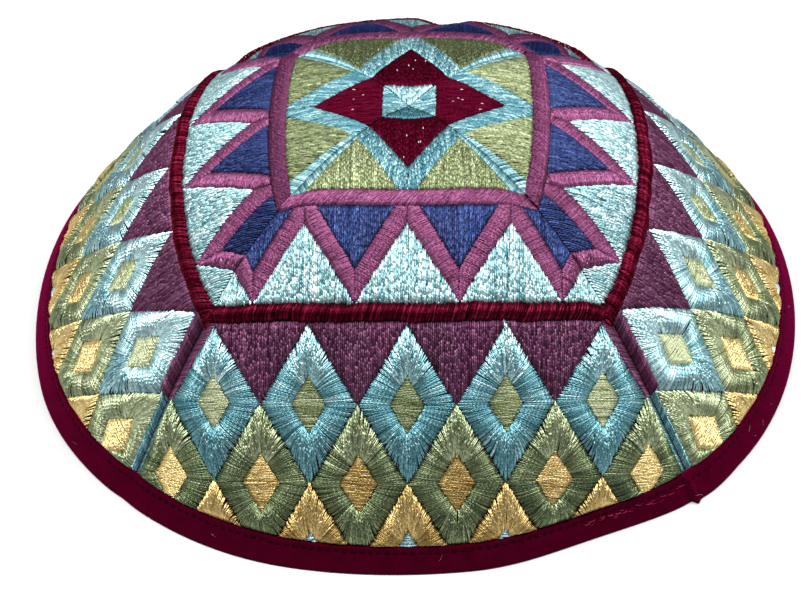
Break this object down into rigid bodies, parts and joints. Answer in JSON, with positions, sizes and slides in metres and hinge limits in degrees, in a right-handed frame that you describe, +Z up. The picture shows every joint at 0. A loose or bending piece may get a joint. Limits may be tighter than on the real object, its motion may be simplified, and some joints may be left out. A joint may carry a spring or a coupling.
{
  "type": "kippah skullcap",
  "caption": "Embroidered fabric skullcap: shallow open dome of four wedge panels with a square raised ridge round the crown and a tape-bound rim.",
  "frame": {"origin": "on the surface that the rim rests on, at the middle of the cap's footprint", "axes": "+Z up through the crown, -Y through the middle of the front panel, +X to the wearer's left when the front panel faces forward"},
  "size_m": [0.168, 0.1663, 0.0585],
  "materials": {
    "embroidered_panel": "cotton cloth covered with rayon satin stitch in teal, olive, navy, mauve, plum, maroon and tan",
    "ridge_satin": "padded satin stitch, dark maroon, silky",
    "rim_tape": "matt dark maroon cotton bias tape"
  },
  "bodies": {
    "root": {"panel_front": "embroidered_panel", "panel_right": "embroidered_panel", "panel_back": "embroidered_panel", "panel_left": "embroidered_panel", "ridge_front": "ridge_satin", "ridge_right": "ridge_satin", "ridge_back": "ridge_satin", "ridge_left": "ridge_satin", "rim_tape": "rim_tape"}
  },
  "joints": []
}
